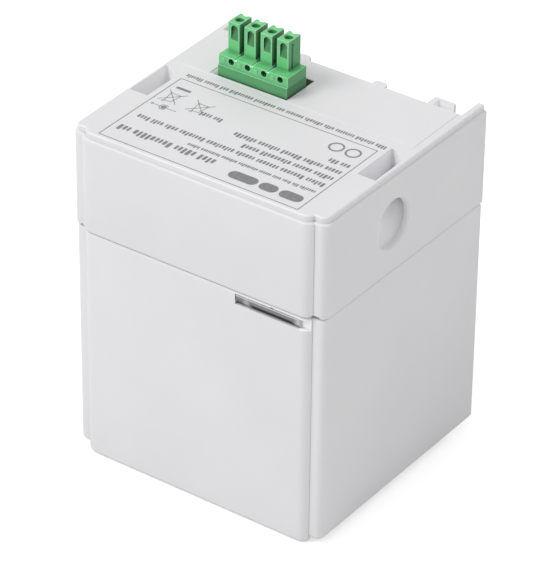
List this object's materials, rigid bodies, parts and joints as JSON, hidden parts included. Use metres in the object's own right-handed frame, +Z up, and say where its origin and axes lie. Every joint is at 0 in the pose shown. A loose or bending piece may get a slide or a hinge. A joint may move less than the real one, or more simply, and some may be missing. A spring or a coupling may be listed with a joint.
{
  "type": "wall battery unit",
  "caption": "Box-shaped rechargeable battery unit with a charging port in its side, an upright pluggable output socket on top and hooks that hang it on a wall drive's back plate.",
  "frame": {"origin": "level of the front panel's lower edge (1.5 mm below the body's flat underside), in the middle of the width and depth", "axes": "+X to the side wall with the charging port, +Y to the wall behind the unit, +Z up to the output socket"},
  "size_m": [0.079, 0.072, 0.1122],
  "materials": {
    "housing": "fine matt moulded surface, off-white",
    "light_guide": "clear, lightly smoked, polished",
    "lamp": "small moulded lamp",
    "socket_green": "light green moulded, satin",
    "steel": "bright zinc-plated",
    "contact_metal": "tinned contact metal",
    "nickel": "bright nickel-plated strip",
    "board_green": "green solder mask",
    "black_plastic": "black moulded",
    "can_blue": "dark blue sleeved can with a bare top",
    "ferrite": "dark sintered core",
    "copper": "enamelled copper wire",
    "clear_glass": "clear tube with bright end caps",
    "ivory": "natural moulded plastic",
    "lead_red": "red lead insulation",
    "lead_black": "black lead insulation",
    "ribbon_grey": "grey ribbon lead",
    "cell_wrap": "green film over a nickel-plated can",
    "cell_ring": "white paper-like washer",
    "fibre": "tan insulating sheet",
    "film_blue": "blue shrink film",
    "tray_grey": "light grey moulded",
    "foam": "soft closed-cell foam"
  },
  "bodies": {
    "battery_unit": {"upper_housing": "housing", "lower_housing": "housing", "light_guide": "light_guide", "led_board": "board_green", "status_leds": "lamp", "led_cable": "ribbon_grey", "output_socket": "socket_green", "socket_contacts": "contact_metal", "jack_body": "black_plastic", "jack_pin": "contact_metal", "jack_contacts": "contact_metal", "charger_board": "board_green", "board_screws": "steel", "charger_chip": "black_plastic", "storage_capacitors": "can_blue", "choke_coil": "copper", "choke_core": "ferrite", "power_diodes": "black_plastic", "line_fuse": "clear_glass", "fuse_clips": "nickel", "battery_header": "ivory", "battery_plug": "ivory", "lead_positive": "lead_red", "lead_negative": "lead_black", "cells": "cell_wrap", "cell_buttons": "nickel", "cell_rings": "cell_ring", "top_links": "nickel", "bottom_links": "nickel", "top_insulator": "fibre", "bottom_insulator": "fibre", "pack_sleeve": "film_blue", "cell_tray": "tray_grey", "foam_pads": "foam", "thermal_fuse": "steel", "temperature_sensor": "black_plastic"},
    "rear_cover": {"rear_cover": "housing"},
    "cover_screws": {"cover_screws": "steel"}
  },
  "joints": [
    {"name": "cover_lift_off", "type": "slide", "parent": "battery_unit", "child": "rear_cover", "axis": [0, 1, 0], "range_m": [0, 0.025]},
    {"name": "screw_draw_out", "type": "slide", "parent": "rear_cover", "child": "cover_screws", "axis": [0, 1, 0], "range_m": [0, 0.012]}
  ]
}
